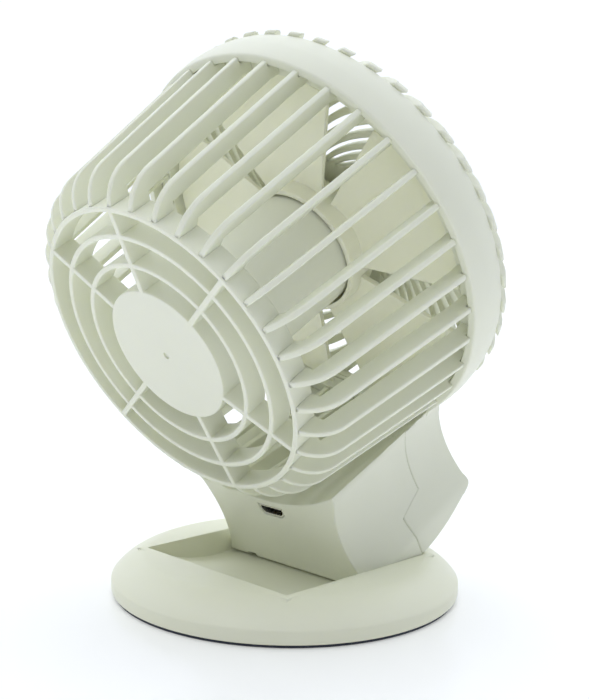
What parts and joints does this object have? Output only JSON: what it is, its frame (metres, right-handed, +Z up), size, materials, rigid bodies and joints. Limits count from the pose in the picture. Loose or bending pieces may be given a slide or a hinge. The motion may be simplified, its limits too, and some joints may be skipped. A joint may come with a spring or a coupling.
{
  "type": "desk fan",
  "caption": "Small USB desk fan: round base with an arched pocket, sliding block neck for tilt, ribbed rear cage, band housing, swirled front grille and an impeller on a motor.",
  "frame": {"origin": "centre of the base's underside, on the surface that the fan stands on", "axes": "+Z up, -Y is the way the air leaves, +Y the side with the USB socket, X along the tilt axis"},
  "size_m": [0.0958, 0.0926, 0.1251],
  "materials": {
    "base_plastic": "fine satin moulded ABS",
    "neck_plastic": "fine satin moulded ABS",
    "housing_plastic": "fine satin moulded ABS",
    "cage_plastic": "fine satin moulded ABS",
    "impeller_plastic": "smooth, slightly translucent",
    "foot_rubber": "matt",
    "plated_steel": "zinc plated",
    "ballast_steel": "rough",
    "core_steel": "laminated",
    "magnet_ferrite": "sintered",
    "copper_wire": "enamelled",
    "brass": "turned",
    "gold_plate": "plated",
    "board_laminate": "solder mask",
    "black_plastic": "moulded",
    "white_nylon": "moulded",
    "lead_sheath": "PVC",
    "button_plastic": "polished"
  },
  "bodies": {
    "base": {"base_shell": "base_plastic", "base_bottom_plate": "base_plastic", "ballast_plate": "ballast_steel", "foot_pad": "foot_rubber", "base_screws": "plated_steel", "guide_key_left": "white_nylon", "guide_key_right": "white_nylon", "guide_screws": "plated_steel", "guide_spring_washers": "plated_steel"},
    "head": {"front_housing": "housing_plastic", "neck_rear_shell": "neck_plastic", "neck_screws": "plated_steel", "cage_ribs": "cage_plastic", "cage_rear_grille": "cage_plastic", "cage_root_ring": "cage_plastic", "cage_screws": "plated_steel", "front_grille": "housing_plastic", "motor_mount": "cage_plastic", "mount_screws": "plated_steel", "motor_screws": "plated_steel", "motor_can": "plated_steel", "front_bush": "brass", "rear_bush": "brass", "motor_end_cap": "white_nylon", "motor_magnets": "magnet_ferrite", "motor_brushes": "brass", "motor_terminals": "brass", "control_board": "board_laminate", "board_screws": "plated_steel", "usb_socket_shell": "plated_steel", "usb_tongue": "black_plastic", "usb_contacts": "gold_plate", "switch_body": "black_plastic", "motor_lead": "lead_sheath"},
    "rotor": {"motor_shaft": "plated_steel", "armature_core": "core_steel", "armature_windings": "copper_wire", "commutator": "brass", "shaft_spacer": "white_nylon", "impeller": "impeller_plastic"},
    "button": {"power_button": "button_plastic", "switch_plunger": "black_plastic"}
  },
  "joints": [
    {"name": "head_tilt", "type": "hinge", "parent": "base", "child": "head", "pos_m": [0, 0, 0.052], "axis": [-1, 0, 0], "range_deg": [-29.5, 1.5]},
    {"name": "impeller_spin", "type": "hinge", "parent": "head", "child": "rotor", "pos_m": [0, 0.01064, 0.0708], "axis": [0, -0.8704, 0.4924], "continuous": true},
    {"name": "power_button", "type": "slide", "parent": "head", "child": "button", "axis": [0, 0.8704, -0.4924], "range_m": [0, 0.0008], "stiffness_N_per_m": 800, "springref_m": -0.0005}
  ]
}
